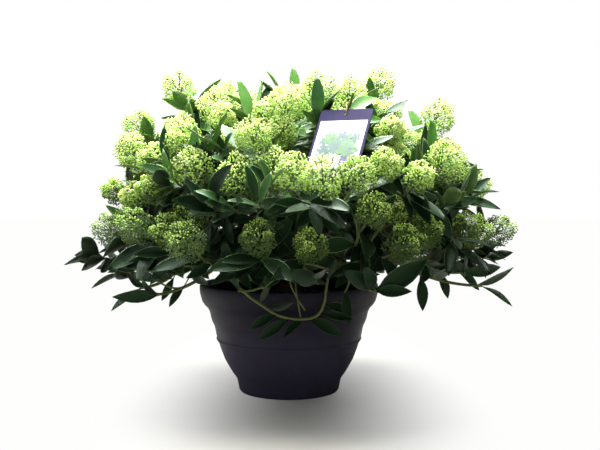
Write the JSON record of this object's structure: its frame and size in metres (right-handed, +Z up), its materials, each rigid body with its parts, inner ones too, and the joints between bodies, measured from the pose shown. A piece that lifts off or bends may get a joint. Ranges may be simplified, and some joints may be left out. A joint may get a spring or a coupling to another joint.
{
  "type": "potted skimmia shrub",
  "caption": "Compact evergreen skimmia shrub with domed heads of pale green flower buds, growing in a round dark plastic pot with a hanging card label.",
  "frame": {"origin": "middle of the pot's flat underside", "axes": "+Z up along the pot's axis, -Y towards the front, +X to the right seen from the front"},
  "size_m": [0.5542, 0.4966, 0.4218],
  "materials": {
    "plastic": "matte, moulded",
    "soil": "damp, crumbly",
    "bark": "rough bark",
    "green_stem": "smooth green bark",
    "foliage": "leathery leaves with pale green buds",
    "card": "satin print",
    "tie": "matte"
  },
  "bodies": {
    "root": {"pot": "plastic", "soil": "soil", "trunk": "bark", "stem_centre": "bark", "stem_front": "bark", "stem_right": "bark", "stem_back_right": "bark", "stem_back_left": "bark", "stem_left": "bark", "bough_high_back_right_55": "green_stem", "bough_high_left_175": "green_stem", "bough_high_front_right_295": "green_stem", "bough_mid_front_270": "green_stem", "bough_low_front_left_234": "green_stem", "bough_low_front_270": "green_stem", "bough_mid_right_342": "green_stem", "bough_low_front_right_306": "green_stem", "bough_low_right_342": "green_stem", "bough_mid_back_right_54": "green_stem", "bough_low_right_18": "green_stem", "bough_low_back_right_54": "green_stem", "bough_mid_back_left_126": "green_stem", "bough_low_back_90": "green_stem", "bough_low_back_left_126": "green_stem", "bough_mid_left_198": "green_stem", "bough_low_left_162": "green_stem", "bough_low_left_198": "green_stem", "foliage_high_back_right_55": "foliage", "foliage_high_left_175": "foliage", "foliage_high_front_right_295": "foliage", "foliage_mid_front_270": "foliage", "foliage_low_front_left_234": "foliage", "foliage_low_front_270": "foliage", "foliage_mid_right_342": "foliage", "foliage_low_front_right_306": "foliage", "foliage_low_right_342": "foliage", "foliage_mid_back_right_54": "foliage", "foliage_low_right_18": "foliage", "foliage_low_back_right_54": "foliage", "foliage_mid_back_left_126": "foliage", "foliage_low_back_90": "foliage", "foliage_low_back_left_126": "foliage", "foliage_mid_left_198": "foliage", "foliage_low_left_162": "foliage", "foliage_low_left_198": "foliage", "label_card": "card", "label_tie": "tie"}
  },
  "joints": []
}
